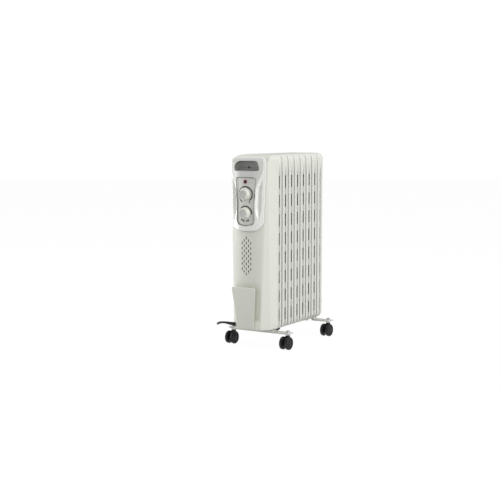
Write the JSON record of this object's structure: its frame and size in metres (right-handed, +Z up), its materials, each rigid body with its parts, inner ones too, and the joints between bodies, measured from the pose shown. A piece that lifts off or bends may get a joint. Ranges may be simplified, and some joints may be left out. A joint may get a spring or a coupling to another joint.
{
  "type": "oil filled radiator heater",
  "caption": "Oil filled column radiator with pressed fins, a moulded front housing with two rotary controls, a leaning cord plate and twin-wheel castors.",
  "frame": {"origin": "on the floor below the middle of the heater's overall box, the mains lead left out", "axes": "+Z up, the controls face -Y, +X to the right seen from the controls"},
  "size_m": [0.4168, 0.5197, 0.63],
  "materials": {
    "fin_enamel": "satin powder coat",
    "white_plastic": "fine satin moulding",
    "white_gloss": "glossy moulding",
    "grey_plastic": "satin moulding",
    "recess_plastic": "fine grained moulding",
    "red_lens": "clear tinted moulding",
    "lamp_glass": "clear glass",
    "cream_plastic": "thermoset moulding",
    "black_plastic": "fine grained moulding",
    "black_rubber": "smooth flexible sheath",
    "zinc_steel": "zinc plated",
    "element_steel": "drawn tube",
    "nickel_pins": "nickel plated"
  },
  "bodies": {
    "heater": {"fin_1": "fin_enamel", "fin_2": "fin_enamel", "fin_3": "fin_enamel", "fin_4": "fin_enamel", "fin_5": "fin_enamel", "fin_6": "fin_enamel", "fin_7": "fin_enamel", "fin_8": "fin_enamel", "heating_element": "element_steel", "element_flange": "zinc_steel", "flange_gasket": "black_rubber", "oil_plug": "zinc_steel", "housing_shell": "white_plastic", "back_plate": "zinc_steel", "control_bezel": "white_gloss", "dial_plate": "grey_plastic", "grip_liner": "recess_plastic", "indicator_lens": "red_lens", "indicator_lamp": "lamp_glass", "thermostat_body": "cream_plastic", "selector_switch": "black_plastic", "terminal_block": "cream_plastic", "thermal_cutout": "cream_plastic", "tip_switch_case": "cream_plastic", "internal_wiring": "black_rubber", "housing_screws": "zinc_steel", "cord_plate": "white_plastic", "strain_relief": "black_rubber", "front_bracket": "fin_enamel", "rear_bracket": "fin_enamel", "u_bolts": "zinc_steel", "wing_nuts": "zinc_steel", "castor_nuts": "zinc_steel", "mains_lead": "black_rubber", "lead_coil": "black_rubber", "lead_tail": "black_rubber", "lead_tie": "black_plastic", "plug_body": "black_rubber", "plug_pins": "nickel_pins", "castor_front_left_stem": "zinc_steel", "castor_front_right_stem": "zinc_steel", "castor_rear_left_stem": "zinc_steel", "castor_rear_right_stem": "zinc_steel"},
    "thermostat_control": {"thermostat_knob": "white_gloss", "thermostat_shaft": "zinc_steel"},
    "selector_control": {"selector_knob": "white_gloss", "selector_shaft": "zinc_steel"},
    "tip_pendulum": {"tip_switch_pendulum": "zinc_steel"},
    "castor_front_left_swivel": {"castor_front_left_body": "black_plastic"},
    "castor_front_left_wheelset": {"castor_front_left_wheels": "black_plastic", "castor_front_left_axle": "zinc_steel"},
    "castor_front_right_swivel": {"castor_front_right_body": "black_plastic"},
    "castor_front_right_wheelset": {"castor_front_right_wheels": "black_plastic", "castor_front_right_axle": "zinc_steel"},
    "castor_rear_left_swivel": {"castor_rear_left_body": "black_plastic"},
    "castor_rear_left_wheelset": {"castor_rear_left_wheels": "black_plastic", "castor_rear_left_axle": "zinc_steel"},
    "castor_rear_right_swivel": {"castor_rear_right_body": "black_plastic"},
    "castor_rear_right_wheelset": {"castor_rear_right_wheels": "black_plastic", "castor_rear_right_axle": "zinc_steel"}
  },
  "joints": [
    {"name": "thermostat_turn", "type": "hinge", "parent": "heater", "child": "thermostat_control", "pos_m": [0, -0.19275, 0.505], "axis": [0, 1, 0], "range_deg": [0, 270]},
    {"name": "selector_turn", "type": "hinge", "parent": "heater", "child": "selector_control", "pos_m": [0, -0.19275, 0.4445], "axis": [0, 1, 0], "range_deg": [0, 180]},
    {"name": "tip_swing", "type": "hinge", "parent": "heater", "child": "tip_pendulum", "pos_m": [-0.036, -0.11875, 0.292], "axis": [0, 1, 0], "range_deg": [-25, 25]},
    {"name": "castor_front_left_turn", "type": "hinge", "parent": "heater", "child": "castor_front_left_swivel", "pos_m": [-0.104, -0.09475, 0.04], "axis": [0, 0, 1], "continuous": true},
    {"name": "castor_front_left_roll", "type": "hinge", "parent": "castor_front_left_swivel", "child": "castor_front_left_wheelset", "pos_m": [-0.104, -0.10675, 0.021], "axis": [1, 0, 0], "continuous": true},
    {"name": "castor_front_right_turn", "type": "hinge", "parent": "heater", "child": "castor_front_right_swivel", "pos_m": [0.104, -0.09475, 0.04], "axis": [0, 0, 1], "continuous": true},
    {"name": "castor_front_right_roll", "type": "hinge", "parent": "castor_front_right_swivel", "child": "castor_front_right_wheelset", "pos_m": [0.104, -0.10675, 0.021], "axis": [1, 0, 0], "continuous": true},
    {"name": "castor_rear_left_turn", "type": "hinge", "parent": "heater", "child": "castor_rear_left_swivel", "pos_m": [-0.104, 0.18725, 0.04], "axis": [0, 0, 1], "continuous": true},
    {"name": "castor_rear_left_roll", "type": "hinge", "parent": "castor_rear_left_swivel", "child": "castor_rear_left_wheelset", "pos_m": [-0.104, 0.17525, 0.021], "axis": [1, 0, 0], "continuous": true},
    {"name": "castor_rear_right_turn", "type": "hinge", "parent": "heater", "child": "castor_rear_right_swivel", "pos_m": [0.104, 0.18725, 0.04], "axis": [0, 0, 1], "continuous": true},
    {"name": "castor_rear_right_roll", "type": "hinge", "parent": "castor_rear_right_swivel", "child": "castor_rear_right_wheelset", "pos_m": [0.104, 0.17525, 0.021], "axis": [1, 0, 0], "continuous": true}
  ]
}
